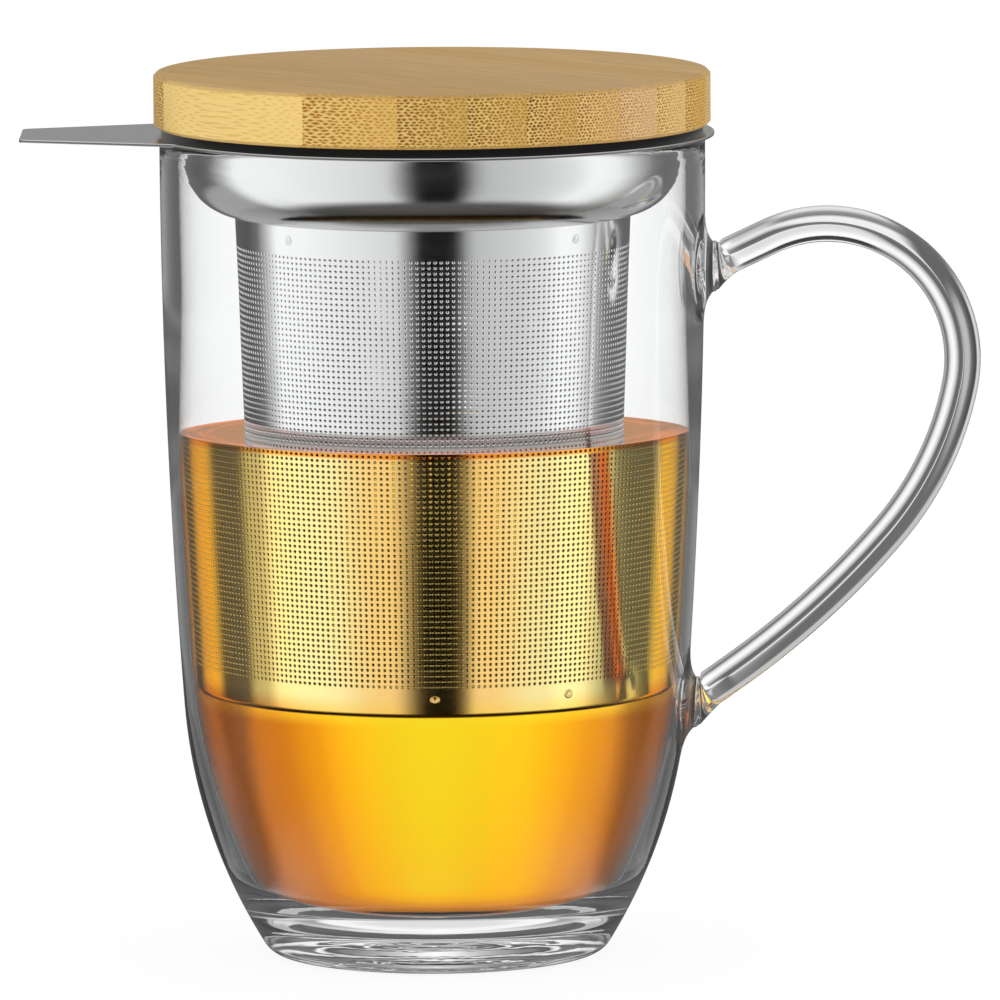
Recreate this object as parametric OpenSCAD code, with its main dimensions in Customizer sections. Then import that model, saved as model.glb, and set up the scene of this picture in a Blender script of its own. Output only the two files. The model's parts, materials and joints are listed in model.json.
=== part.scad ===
// Glass tea mug with a lift-out steel infuser and a lift-off laminated bamboo lid.
// Millimetres. The origin is the centre of the mug's rest face, +Z is up,
// the handle points along +X and the infuser's finger tab along -X.

/* [Mug] */
// Outer diameter of the mug at its rim
mug_d = 88.2; // [84:0.2:96]
// Height of the rim above the table
mug_h = 133.2; // [128:0.2:142]
// Thickness of the glass wall
glass_t = 3; // [2.4:0.1:3.4]
// Thickness of the glass under the tea, at the middle
base_t = 7; // [5:0.5:9]
// Radius of the slow curve that the side follows, seen from the side
side_curve_r = 1300; // [1100:50:2000]
// Height at which the side starts to turn in towards the foot
shoulder_z = 41; // [38:0.5:46]
// Radius of the curve from the shoulder down to the foot
base_curve_r = 86; // [84:1:92]
// Radius of the corner between that curve and the rest face
foot_corner_r = 4; // [3:0.5:6]
// Radius of the corner between the wall and the floor inside
floor_corner_r = 12; // [8:1:14]
// Radius of the two melted corners of the rim
rim_corner_r = 1.1; // [0.8:0.1:1.2]

/* [Handle] */
// Diameter of the glass rod
rod_d = 5.9; // [5:0.1:7]
// Distance from the rim down to the place where the rod leaves the wall
handle_drop = 21.7; // [19:0.5:26]
// Angle at which the rod rises from the wall there
handle_rise = 25; // [20:1:30]
// Length of the rod from the wall to the first bend
handle_straight = 11.5; // [9:0.5:14]
// Radius of the bend over the fingers
finger_bend_r = 22; // [20:0.5:24]
// Angle of the bend over the fingers
finger_bend = 126; // [122:1:130]
// Radius of the bend beside the fingers
palm_bend_r = 52; // [46:1:56]
// Angle of the bend beside the fingers
palm_bend = 30; // [27:1:33]
// Radius of the slow bend back to the wall
tail_bend_r = 140; // [120:5:180]
// Radius of the glass that spreads over the wall at each end of the rod
weld_r = 7.8; // [6.4:0.2:8.4]
// Radius of the bead where the rod was pressed on
bead_r = 4.1; // [3.8:0.1:4.6]
// Distance that the bead stands out from the wall
bead_h = 3.2; // [2.8:0.1:4]

/* [Infuser] */
// Distance that the flange stands out past the rim it rests on
flange_overhang = 1.5; // [1:0.1:2.5]
// Thickness of the pressed sheet of the collar
collar_t = 0.5; // [0.4:0.05:0.7]
// Play between the collar's bowl and the mouth of the mug
bowl_play = 1.1; // [0.6:0.1:1.6]
// Inner radius of the bend from the flange to the bowl
flange_bend_r = 0.8; // [0.6:0.1:1.2]
// Depth of the bowl below the rim, to the top of the basket
bowl_depth = 12.4; // [11:0.2:14]
// Radius of the bowl's round lower corner
bowl_corner_r = 9; // [8:0.5:10]
// Width of the bowl from its side in to the basket
bowl_w = 8; // [7:0.5:10]
// Length of the basket's sheet
basket_h = 77.4; // [70:0.2:84]
// Distance that the basket's sheet leans in over that length
basket_taper = 3.2; // [2:0.1:4.5]
// Thickness of the basket's etched sheet
basket_t = 0.3; // [0.2:0.05:0.4]
// Gap between the basket's sheet and the pieces spot-welded inside it
sheet_gap = 0.05; // [0.03:0.01:0.08]
// Depth of the neck and of the bottom cup inside the basket
lap_h = 5; // [4:0.5:6]
// Radius of the bottom cup's corner
cup_corner_r = 0.9; // [0.7:0.1:1.2]

/* [Finger tab] */
// Length of the tab past the flange's edge
tab_l = 20.9; // [16:0.5:26]
// Width of the tab at its tip
tab_tip_w = 20; // [16:0.5:24]
// Width of the tab where it leaves the flange
tab_root_w = 39; // [34:0.5:44]
// Radius of the tab's two corners
tab_corner_r = 1.6; // [1:0.1:3]

/* [Spot welds] */
// Diameter of a spot weld
weld_spot_d = 1.5; // [1:0.1:2]
// Height that a spot weld stands proud of the sheet
weld_spot_h = 0.12; // [0.05:0.01:0.2]
// Distance from the basket's edge to the middle of a spot weld
weld_spot_inset = 2.2; // [1.8:0.1:2.8]
// Turn from the front to the spot welds of the neck
neck_weld_turn = 45; // [40:1:50]
// Turn between the two bottom spot welds of a pair
cup_weld_turn = 42; // [36:1:48]

/* [Lid] */
// Width of the flange that shows around the lid
lid_inset = 0.6; // [0:0.1:1]
// Thickness of the part of the lid that shows
lid_t = 8.6; // [7:0.2:11]
// Width of the chamfer that breaks the lid's edges
lid_chamfer = 0.5; // [0.3:0.1:0.9]
// Depth of the plug below the lid's underside
plug_depth = 7.4; // [6.6:0.2:8]
// Width of what the turning left of the outermost strip on the tab's side
first_strip_w = 3.6; // [2.6:0.2:9]
// Width of what it left of the outermost strip on the handle's side
last_strip_w = 9; // [4:0.2:9]
// Turn of the strips' width from +X towards +Y
strip_turn = 40; // [0:1:90]

/* [Seal] */
// Distance that the seal's lip stays back under the lid's edge
seal_inset = 1.2; // [0.6:0.1:2]
// Thickness of the lip
seal_lip_t = 1.3; // [1:0.1:1.8]
// Thickness of the sleeve around the plug
seal_sleeve_t = 1.6; // [1.2:0.1:2]
// Length of the fins
seal_fin_l = 2.1; // [1.5:0.1:2.5]
// Play between the fins and the collar's bowl
seal_play = 0.3; // [0.2:0.05:0.4]
// Height of one fin at its tip
seal_fin_t = 0.6; // [0.4:0.05:0.8]

/* [Hidden] */
$fn = 96;
arc_steps = 10;

glass_colour = [0.82, 0.88, 0.88, 0.45];
steel_colour = [0.76, 0.77, 0.78];
seal_colour = [0.08, 0.08, 0.08];
bamboo_light = [0.93, 0.78, 0.50];
bamboo_dark = [0.80, 0.60, 0.36];

// Points on an arc about [cx, cz], from angle a0 to angle a1
function arc(cx, cz, r, a0, a1, n = arc_steps) =
    [for (i = [0:n]) let (a = a0 + (a1 - a0) * i / n) [cx + r * cos(a), cz + r * sin(a)]];

// The mug's side: a slow arc that is upright at the rim, then a tighter one down to the foot
side_cx = mug_d / 2 - side_curve_r;
shoulder_turn = asin((mug_h - shoulder_z) / side_curve_r);
shoulder_r = side_cx + side_curve_r * cos(shoulder_turn);
base_cx = shoulder_r - base_curve_r * cos(shoulder_turn);
base_cz = shoulder_z + base_curve_r * sin(shoulder_turn);

// Radius of the mug's outer face at height z
function wall_r(z) = z > shoulder_z
    ? side_cx + sqrt(pow(side_curve_r, 2) - pow(mug_h - z, 2))
    : base_cx + sqrt(pow(base_curve_r, 2) - pow(base_cz - z, 2));

// One face of the glass, in by t from the outer one, from a flat floor at floor_z up to the rim
function glass_face(t, floor_z, corner_r) =
    let (
        turn = asin((base_cz - floor_z - corner_r) / (base_curve_r - t - corner_r)),
        corner_x = base_cx + (base_curve_r - t - corner_r) * cos(turn),
        rim_turn = asin(rim_corner_r / side_curve_r)
    )
    concat(
        [[0, floor_z]],
        arc(corner_x, floor_z + corner_r, corner_r, -90, -turn),
        arc(base_cx, base_cz, base_curve_r - t, -turn, -shoulder_turn),
        arc(side_cx, mug_h, side_curve_r - t, -shoulder_turn, -rim_turn)
    );

function reversed(list) = [for (i = [len(list) - 1:-1:0]) list[i]];

// Leaves out each point that repeats the one before it
function tidied(list) =
    [for (i = [0:len(list) - 1]) if (i == 0 || norm(list[i] - list[max(i, 1) - 1]) > 0.001) list[i]];

rim_out_x = mug_d / 2 - rim_corner_r;
rim_in_x = mug_d / 2 - glass_t + rim_corner_r;
rim_z = mug_h - rim_corner_r;

// The handle's route in the plane of X and Z. It leaves the wall at heading handle_rise
// and every bend turns it clockwise. Each stop on it is [point, heading].
function step_point(stop, l) = stop[0] + l * [cos(stop[1]), sin(stop[1])];
function bend_point(stop, r, a) =
    stop[0] + r * [sin(stop[1]) - sin(stop[1] - a), cos(stop[1] - a) - cos(stop[1])];
function bent(stop, r, a) = [bend_point(stop, r, a), stop[1] - a];
handle_top_z = mug_h - handle_drop;
wall_start = [[wall_r(handle_top_z), handle_top_z], handle_rise];
finger_start = [step_point(wall_start, handle_straight), handle_rise];
palm_start = bent(finger_start, finger_bend_r, finger_bend);
tail_start = bent(palm_start, palm_bend_r, palm_bend);
// Angle of the last bend at which the rod's axis meets the wall, found in small steps
tail_step = 0.1;
tail_most = 60;
function tail_meets(a = 0) =
    let (p = bend_point(tail_start, tail_bend_r, a))
    p[0] <= wall_r(p[1]) || a > tail_most ? a : tail_meets(a + tail_step);
tail_bend = tail_meets();
wall_end = bent(tail_start, tail_bend_r, tail_bend);
// Heading of the wall's normal at height z, out of the mug
function wall_normal(z) = z > shoulder_z
    ? -asin((mug_h - z) / side_curve_r)
    : -asin((base_cz - z) / base_curve_r);
rod_r = rod_d / 2;
rod_sides = 20;
bend_step = 7;
// The rod's own rings stop this turn before the wall, and the weld's rings take over
weld_turn = 3;
// The glass that spreads over the wall at each end of the rod. Each ring is
// [distance from the wall, radius, how far it has turned from the wall to the rod].
// The first ones lie inside the wall, which is cut away from the handle.
weld_rings = [
    [-0.5 * weld_r, weld_r, 0],
    [-0.08 * weld_r, weld_r, 0],
    [0.05 * bead_h, 0.6 * weld_r + 0.4 * bead_r, 0],
    [0.25 * bead_h, 0.2 * weld_r + 0.8 * bead_r, 0.1],
    [0.45 * bead_h, bead_r, 0.25],
    [0.75 * bead_h, bead_r, 0.55],
    [bead_h, 0.6 * bead_r + 0.4 * rod_r, 0.8],
    [1.2 * bead_h, rod_r, 1]
];

// The infuser hangs from the flange
flange_top_z = mug_h + collar_t;
flange_r = mug_d / 2 + flange_overhang;
bowl_r = mug_d / 2 - glass_t - bowl_play;
neck_z = mug_h - bowl_depth;
basket_top_r = bowl_r - bowl_w;
basket_bottom_r = basket_top_r - basket_taper;
basket_bottom_z = neck_z - basket_h;
// Radius of the basket's outer face at height z
function basket_r(z) = basket_bottom_r
    + basket_taper * (z - basket_bottom_z) / basket_h;
// Radius at height z of what is welded inside the basket
function lap_r(z) = basket_r(z) - basket_t - sheet_gap;
// The bowl's corner ends where the basket's top edge meets it
bowl_corner_x = bowl_r - bowl_corner_r;
bowl_turn = acos((basket_top_r - bowl_corner_x) / bowl_corner_r);
bowl_corner_z = neck_z + bowl_corner_r * sin(bowl_turn);

// The lid and its seal rest on the flange
seal_z = flange_top_z;
lid_z = seal_z + seal_lip_t;
lid_top_z = lid_z + lid_t;
lid_r = flange_r - lid_inset;
seal_fin_r = bowl_r - collar_t - seal_play;
seal_sleeve_r = seal_fin_r - seal_fin_l;
seal_lip_r = lid_r - seal_inset;
plug_r = seal_sleeve_r - seal_sleeve_t;
plug_z = lid_z - plug_depth;
// Where the seal's fins stand, as shares of the way down its sleeve
seal_fin_shares = [0.3, 0.65];
strip_count = 11;
strip_w = (2 * lid_r - first_strip_w - last_strip_w) / (strip_count - 2);

module cup_outside() {
    rotate_extrude()
        polygon(tidied(concat(glass_face(0, 0, foot_corner_r), [[mug_d / 2, mug_h], [0, mug_h]])));
}

module glass_cup() {
    color(glass_colour)
        rotate_extrude()
            polygon(tidied(concat(
                glass_face(0, 0, foot_corner_r),
                arc(rim_out_x, rim_z, rim_corner_r, 0, 90, 4),
                arc(rim_in_x, rim_z, rim_corner_r, 90, 180, 4),
                reversed(glass_face(glass_t, base_t, floor_corner_r))
            )));
}

// One weld as rings. The rod's own axis leaves the wall point with heading rod, and sign is
// 1 where the rings follow the rod away from the wall and -1 where they follow it back.
function weld_at(point, rod, sign) =
    let (normal = wall_normal(point[1]))
    [for (w = weld_rings)
        let (heading = normal + w[2] * (rod - normal))
        [point + w[0] * [cos(heading), sin(heading)], sign > 0 ? heading : heading - 180, w[1]]];

function rod_ring(stop) = [stop[0], stop[1], rod_r];

// The rod as rings, each [centre, heading, radius], from the upper weld to the lower one
handle_rings = concat(
    weld_at(wall_start[0], handle_rise, 1),
    [rod_ring(finger_start)],
    [for (a = [bend_step:bend_step:finger_bend]) rod_ring(bent(finger_start, finger_bend_r, a))],
    [for (a = [bend_step / 2:bend_step:palm_bend]) rod_ring(bent(palm_start, palm_bend_r, a))],
    [for (a = [0:bend_step / 2:tail_bend - weld_turn]) rod_ring(bent(tail_start, tail_bend_r, a))],
    reversed(weld_at(wall_end[0], wall_end[1] + 180, -1))
);

// A round bar through the rings, all in the plane of X and Z
module swept(rings) {
    last = len(rings) - 1;
    points = [for (ring = rings) for (i = [0:rod_sides - 1])
        let (a = 360 * i / rod_sides, side = ring[2] * cos(a))
        [ring[0][0] - side * sin(ring[1]), ring[2] * sin(a), ring[0][1] + side * cos(ring[1])]];
    sides = [for (k = [0:last - 1]) for (i = [0:rod_sides - 1])
        let (j = (i + 1) % rod_sides)
        [k * rod_sides + i, k * rod_sides + j, (k + 1) * rod_sides + j, (k + 1) * rod_sides + i]];
    ends = [
        [for (i = [rod_sides - 1:-1:0]) i],
        [for (i = [0:rod_sides - 1]) last * rod_sides + i]
    ];
    polyhedron(points, concat(sides, ends), convexity = 6);
}

module glass_handle() {
    color(glass_colour)
        difference() {
            swept(handle_rings);
            cup_outside();
        }
}

module infuser_collar() {
    color(steel_colour)
        union() {
            rotate_extrude()
                polygon(tidied(concat(
                    [[flange_r, mug_h], [flange_r, flange_top_z]],
                    arc(bowl_r + flange_bend_r, mug_h - flange_bend_r, flange_bend_r + collar_t, 90, 180, 5),
                    arc(bowl_corner_x, bowl_corner_z, bowl_corner_r - collar_t, 0, -bowl_turn, 9),
                    [[lap_r(neck_z) - collar_t, neck_z + collar_t],
                     [lap_r(neck_z - lap_h) - collar_t, neck_z - lap_h],
                     [lap_r(neck_z - lap_h), neck_z - lap_h],
                     [lap_r(neck_z), neck_z]],
                    arc(bowl_corner_x, bowl_corner_z, bowl_corner_r, -bowl_turn, 0, 9),
                    arc(bowl_r + flange_bend_r, mug_h - flange_bend_r, flange_bend_r, 180, 90, 5)
                )));
            finger_tab();
        }
}

// The flat tab, cut from the same sheet as the flange
module finger_tab() {
    tip_x = flange_r + tab_l - tab_corner_r;
    tip_y = tab_tip_w / 2 - tab_corner_r;
    root_x = sqrt(pow(flange_r, 2) - pow(tab_root_w / 2, 2)) - collar_t;
    side_turn = atan2(tab_root_w / 2 - tab_tip_w / 2, flange_r + tab_l - root_x);
    translate([0, 0, mug_h])
        linear_extrude(collar_t)
            mirror([1, 0])
                polygon(concat(
                    [[root_x, -tab_root_w / 2]],
                    arc(tip_x, -tip_y, tab_corner_r, -90 + side_turn, 0, 5),
                    arc(tip_x, tip_y, tab_corner_r, 0, 90 - side_turn, 5),
                    [[root_x, tab_root_w / 2]]
                ));
}

module basket_wall() {
    color(steel_colour)
        rotate_extrude()
            polygon([
                [basket_bottom_r - basket_t, basket_bottom_z],
                [basket_bottom_r, basket_bottom_z],
                [basket_top_r, neck_z],
                [basket_top_r - basket_t, neck_z]
            ]);
}

module basket_bottom_cup() {
    corner_x = lap_r(basket_bottom_z) - cup_corner_r;
    corner_z = basket_bottom_z;
    color(steel_colour)
        rotate_extrude()
            polygon(tidied(concat(
                [[0, corner_z - cup_corner_r]],
                arc(corner_x, corner_z, cup_corner_r, -90, 0, 5),
                [[lap_r(basket_bottom_z + lap_h), basket_bottom_z + lap_h],
                 [lap_r(basket_bottom_z + lap_h) - basket_t, basket_bottom_z + lap_h]],
                arc(corner_x, corner_z, cup_corner_r - basket_t, 0, -90, 5),
                [[0, corner_z - cup_corner_r + basket_t]]
            )));
}

// One nugget through both sheets at height z, turned from the front
module spot_weld(turn, z) {
    depth = basket_t + sheet_gap + basket_t / 2;
    rotate([0, 0, turn - 90])
        translate([basket_r(z) - depth, 0, z])
            rotate([0, 90, 0])
                cylinder(d = weld_spot_d, h = depth + weld_spot_h);
}

module neck_spot_welds() {
    color(steel_colour)
        for (turn = [neck_weld_turn : 90 : 359]) spot_weld(turn, neck_z - weld_spot_inset);
}

module cup_spot_welds() {
    color(steel_colour)
        for (turn = [0, cup_weld_turn, 180, 180 + cup_weld_turn])
            spot_weld(turn, basket_bottom_z + weld_spot_inset);
}

// The whole lid as it is turned from the glued blank
module lid_blank() {
    rotate_extrude()
        polygon([
            [0, plug_z],
            [plug_r - lid_chamfer, plug_z],
            [plug_r, plug_z + lid_chamfer],
            [plug_r, lid_z],
            [lid_r - lid_chamfer, lid_z],
            [lid_r, lid_z + lid_chamfer],
            [lid_r, lid_top_z - lid_chamfer],
            [lid_r - lid_chamfer, lid_top_z],
            [0, lid_top_z]
        ]);
}

// Strip number i of the blank, counted along the strips' width
module lid_strip(i) {
    past_lid = 2 * lid_r;
    low = i == 1 ? -past_lid : first_strip_w - lid_r + (i - 2) * strip_w;
    high = i == strip_count ? past_lid : first_strip_w - lid_r + (i - 1) * strip_w;
    color(i % 2 == 0 ? bamboo_light : bamboo_dark)
        intersection() {
            lid_blank();
            rotate([0, 0, strip_turn])
                translate([low, -past_lid, plug_z - past_lid])
                    cube([high - low, 2 * past_lid, 2 * past_lid]);
        }
}

module lid_strip_01() { lid_strip(1); }
module lid_strip_02() { lid_strip(2); }
module lid_strip_03() { lid_strip(3); }
module lid_strip_04() { lid_strip(4); }
module lid_strip_05() { lid_strip(5); }
module lid_strip_06() { lid_strip(6); }
module lid_strip_07() { lid_strip(7); }
module lid_strip_08() { lid_strip(8); }
module lid_strip_09() { lid_strip(9); }
module lid_strip_10() { lid_strip(10); }
module lid_strip_11() { lid_strip(11); }

// Silicone ring: a flat lip under the lid, a sleeve around the plug and two fins
module lid_seal() {
    sleeve_z = plug_z + lid_chamfer;
    fin_zs = [for (share = seal_fin_shares) seal_z - share * (seal_z - sleeve_z)];
    color(seal_colour)
        rotate_extrude()
            polygon(concat(
                [[seal_sleeve_r, seal_z], [seal_lip_r, seal_z], [seal_lip_r, lid_z]],
                [[plug_r, lid_z], [plug_r, sleeve_z], [seal_sleeve_r, sleeve_z]],
                [for (z = reversed(fin_zs)) for (p = seal_fin(z)) p]
            ));
}

// One fin's outline from its root upwards: a flat top and an underside that slopes up to the tip
function seal_fin(z) = [
    [seal_sleeve_r, z - seal_fin_t],
    [seal_fin_r, z],
    [seal_fin_r, z + seal_fin_t],
    [seal_sleeve_r, z + seal_fin_t]
];

glass_cup();
glass_handle();
infuser_collar();
basket_wall();
basket_bottom_cup();
neck_spot_welds();
cup_spot_welds();
lid_strip_01();
lid_strip_02();
lid_strip_03();
lid_strip_04();
lid_strip_05();
lid_strip_06();
lid_strip_07();
lid_strip_08();
lid_strip_09();
lid_strip_10();
lid_strip_11();
lid_seal();
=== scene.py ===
"""A glass tea mug with a steel infuser and a bamboo lid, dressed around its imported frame.

Lengths are written in millimetres, as in the part's source, and MM turns them into metres.
"""

import json
import math

import bpy
from mathutils import Matrix, Vector


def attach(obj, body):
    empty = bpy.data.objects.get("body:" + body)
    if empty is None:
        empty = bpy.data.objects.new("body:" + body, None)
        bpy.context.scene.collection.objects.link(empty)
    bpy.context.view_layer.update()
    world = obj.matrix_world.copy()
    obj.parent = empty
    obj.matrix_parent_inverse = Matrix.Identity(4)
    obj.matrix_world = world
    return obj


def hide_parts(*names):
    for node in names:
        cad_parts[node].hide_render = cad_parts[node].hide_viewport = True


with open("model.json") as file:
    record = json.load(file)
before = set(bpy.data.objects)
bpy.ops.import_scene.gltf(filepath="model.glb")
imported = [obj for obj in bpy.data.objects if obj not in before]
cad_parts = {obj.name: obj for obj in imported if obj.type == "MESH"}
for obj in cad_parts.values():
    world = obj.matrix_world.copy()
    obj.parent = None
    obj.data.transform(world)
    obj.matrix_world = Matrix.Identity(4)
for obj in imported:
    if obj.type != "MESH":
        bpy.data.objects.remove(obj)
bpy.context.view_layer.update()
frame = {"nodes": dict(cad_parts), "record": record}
MM = 0.001

# The mug
MUG_R = 44.1
MUG_H = 133.2
GLASS_T = 3.0
THINNING = 1.5  # how much thinner the blown wall is between the heights in THIN_ZONE
THIN_ZONE = (0.0, 52.0, 70.0, 110.0)
FLOOR_Z = 7.0
SIDE_CURVE_R = 1300.0
SHOULDER_Z = 41.0
BASE_CURVE_R = 86.0
FOOT_CORNER_R = 4.0
FLOOR_CORNER_R = 12.0
RIM_CORNER_R = 1.1
DOME_H = 1.1  # how far the pressed floor swells up inside
RIPPLE_H = 0.07  # and the rings that the press left in it
RIPPLE_W = 5.5
HOLLOW_H = 0.8  # how deep the underside is hollowed inside its foot ring
FOOT_RING_W = 3.0
MUG_STEPS = 256

# The handle's route: straight, then three bends, each (radius, angle), back to the wall
ROD_R = 2.95
HANDLE_Z = 111.5
HANDLE_RISE = 25.0
HANDLE_STRAIGHT = 11.5
FINGER_BEND = (22.0, 126.0)
PALM_BEND = (52.0, 30.0)
TAIL_BEND_R = 140.0
ROD_SIDES = 48
# Each weld from the wall outwards: (distance from the wall, radius, how far it has turned to the rod)
WELD_RINGS = (
    (-1.6, 9.4, 0.0), (-0.03, 9.2, 0.0), (0.03, 8.3, 0.0), (0.12, 7.2, 0.0), (0.28, 6.3, 0.0),
    (0.5, 5.55, 0.02), (0.78, 4.95, 0.05), (1.05, 4.5, 0.1), (1.28, 4.2, 0.15), (1.48, 4.12, 0.2),
    (1.68, 4.16, 0.26), (1.88, 3.98, 0.33), (2.08, 3.98, 0.4), (2.3, 3.78, 0.48), (2.6, 3.5, 0.58),
    (2.95, 3.25, 0.7), (3.4, 3.08, 0.82), (3.9, 2.98, 0.92), (4.5, ROD_R, 1.0),
)

# The infuser
COLLAR_T = 0.5
FLANGE_R = 45.6
BOWL_R = 40.0
FLANGE_BEND_R = 0.8
NECK_Z = 120.8
BOWL_CORNER_R = 9.0
NECK_BEAD_R = 0.55
BASKET_TOP_R = 32.0
BASKET_BOTTOM_R = 28.8
BASKET_BOTTOM_Z = 43.4
BASKET_T = 0.3
SHEET_GAP = 0.05
LAP_H = 5.0
CUP_CORNER_R = 0.9
EDGE_R = 0.12
TAB_L = 20.9
TAB_TIP_W = 20.0
TAB_ROOT_W = 39.0
TAB_CORNER_R = 1.6
STEEL_STEPS = 192

# The etched holes of the basket's wall and of its floor
HOLE_R = 0.15
LIP_R = 0.27  # where the rounded edge of a hole begins on the sheet's face
LIP_DEPTH = 0.08
HOLE_SIDES = 8
HOLE_COLUMNS = 208
HOLE_ROWS = 78
FIRST_ROW_Z = 115.8
ROW_PITCH = 0.885
CELL_W = 0.9
PANELS = 8
FLOOR_PITCH = 1.0
FLOOR_HOLES_R = 24.5

# Spot welds: (turn from the front, height)
NECK_WELDS = [(turn, NECK_Z - 2.2) for turn in (45, 135, 225, 315)]
CUP_WELDS = [(turn, BASKET_BOTTOM_Z + 2.2) for turn in (0, 42, 180, 222)]
SPOT_R = 0.75

# The tea
TEA_Z = 86.0
TEA_GAP = 0.12

# The lid's glued strips
STRIP_TURN = 40.0
STRIP_W = 8.6
FIRST_GLUE_LINE = -41.4
BUNDLE_PITCH = 0.66
BUNDLE_ROW = 0.5
TOP_TISSUE = (0.72, 0.45, 0.145, 1)
TOP_STREAK = (0.54, 0.32, 0.10, 1)
SHEATH = (0.9, 0.66, 0.22, 1)


# ---- outlines

def arc(cx, cz, r, start, end, steps):
    """Points on an arc about (cx, cz), with its angles in degrees."""
    turns = [math.radians(start + (end - start) * i / steps) for i in range(steps + 1)]
    return [(cx + r * math.cos(t), cz + r * math.sin(t)) for t in turns]


SIDE_CX = MUG_R - SIDE_CURVE_R
SHOULDER_TURN = math.degrees(math.asin((MUG_H - SHOULDER_Z) / SIDE_CURVE_R))
SHOULDER_R = SIDE_CX + SIDE_CURVE_R * math.cos(math.radians(SHOULDER_TURN))
BASE_CX = SHOULDER_R - BASE_CURVE_R * math.cos(math.radians(SHOULDER_TURN))
BASE_CZ = SHOULDER_Z + BASE_CURVE_R * math.sin(math.radians(SHOULDER_TURN))


def wall_r(z):
    """Radius of the mug's outer face at height z."""
    if z > SHOULDER_Z:
        return SIDE_CX + math.sqrt(SIDE_CURVE_R**2 - (MUG_H - z) ** 2)
    return BASE_CX + math.sqrt(BASE_CURVE_R**2 - (BASE_CZ - z) ** 2)


def wall_heading(z):
    """Heading of the wall's normal at height z, in degrees."""
    if z > SHOULDER_Z:
        return -math.degrees(math.asin((MUG_H - z) / SIDE_CURVE_R))
    return -math.degrees(math.asin((BASE_CZ - z) / BASE_CURVE_R))


def smooth(share):
    """Goes from 0 to 1 with a soft start and end."""
    share = min(max(share, 0.0), 1.0)
    return share * share * (3 - 2 * share)


def thinning(z):
    """How much of the wall is missing inside at height z."""
    low, thin_from, thin_to, high = THIN_ZONE
    return THINNING * smooth((z - low) / (thin_from - low)) * smooth((high - z) / (high - thin_to))


def glass_face(inset, floor_z, corner_r, top_z):
    """One face of the glass from the edge of its flat floor up to top_z."""
    r = BASE_CURVE_R - inset - corner_r
    turn = math.degrees(math.asin((BASE_CZ - floor_z - corner_r) / r))
    corner_x = BASE_CX + r * math.cos(math.radians(turn))
    top_turn = math.degrees(math.asin((MUG_H - top_z) / SIDE_CURVE_R))
    points = (
        arc(corner_x, floor_z + corner_r, corner_r, -90, -turn, 14)
        + arc(BASE_CX, BASE_CZ, BASE_CURVE_R - inset, -turn, -SHOULDER_TURN, 20)[1:]
        + arc(SIDE_CX, MUG_H, SIDE_CURVE_R - inset, -SHOULDER_TURN, -top_turn, 40)[1:]
    )
    return [(x + thinning(z), z) for x, z in points] if inset else points


def swell(edge_r, z, height, ripple=0.0, steps=14):
    """A face that rises gently from z at its edge to its middle, with rings, from the middle outwards."""
    points = []
    for i in range(steps + 1):
        r = edge_r * i / steps
        rings = ripple * math.cos(math.tau * r / RIPPLE_W) * (1 - (r / edge_r) ** 4)
        points.append((r, z + height * math.cos(math.pi / 2 * i / steps) ** 2 + rings))
    return points


def basket_r(z):
    """Radius of the basket's outer face at height z."""
    share = (z - BASKET_BOTTOM_Z) / (NECK_Z - BASKET_BOTTOM_Z)
    return BASKET_BOTTOM_R + (BASKET_TOP_R - BASKET_BOTTOM_R) * share


def lap_r(z):
    """Radius at height z of what is welded inside the basket."""
    return basket_r(z) - BASKET_T - SHEET_GAP


# ---- modelling

def alone(obj):
    """Selects obj and nothing else."""
    bpy.ops.object.select_all(action="DESELECT")
    obj.select_set(True)
    bpy.context.view_layer.objects.active = obj


def edit(obj):
    """Goes into edit mode with all of obj selected."""
    alone(obj)
    bpy.ops.object.mode_set(mode="EDIT")
    bpy.ops.mesh.select_mode(type="VERT")
    pick()


def leave_edit():
    bpy.ops.object.mode_set(mode="OBJECT")


def pick(wanted=True):
    """In edit mode, selects everything or nothing."""
    bpy.ops.mesh.select_all(action="SELECT" if wanted else "DESELECT")


def extrude(x, y, z):
    """In edit mode, extrudes what is selected."""
    bpy.ops.mesh.extrude_region_move(TRANSFORM_OT_translate={"value": (x * MM, y * MM, z * MM)})


def shift(x, y, z):
    """In edit mode, moves what is selected."""
    bpy.ops.transform.translate(value=(x * MM, y * MM, z * MM))


def added(name, primitive, **settings):
    """A new primitive, selected alone."""
    bpy.ops.object.select_all(action="DESELECT")
    primitive(**settings)
    obj = bpy.context.object
    obj.name = obj.data.name = name
    return obj


def drawn(name, outline):
    """A new object in edit mode: one line of vertices through the outline's (x, z) points."""
    obj = added(name, bpy.ops.mesh.primitive_plane_add, size=MM)
    edit(obj)
    bpy.ops.mesh.merge(type="CENTER")
    x, z = outline[0]
    shift(x, 0, z)
    for (x0, z0), (x1, z1) in zip(outline, outline[1:]):
        step = ((x1 - x0) * MM, 0, (z1 - z0) * MM)
        bpy.ops.mesh.extrude_vertices_move(TRANSFORM_OT_translate={"value": step})
    return obj


def merge():
    """In edit mode, merges doubles and turns the faces outwards."""
    pick()
    bpy.ops.mesh.remove_doubles(threshold=0.001 * MM)
    bpy.ops.mesh.normals_make_consistent(inside=False)


def smooth_faces(obj, crease):
    """Smooth shading on all but the edges over that angle."""
    alone(obj)
    bpy.ops.object.shade_smooth_by_angle(angle=math.radians(crease))


def close_up(obj, crease):
    """From edit mode: merges, and smooths all but the creases."""
    merge()
    leave_edit()
    smooth_faces(obj, crease)


def spun(name, outline, steps, crease):
    """The outline turned once around the Z axis, closed and smooth."""
    obj = drawn(name, outline)
    pick()
    bpy.ops.mesh.spin(steps=steps, angle=math.tau, center=(0, 0, 0), axis=(0, 0, 1))
    close_up(obj, crease)
    return obj


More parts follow.
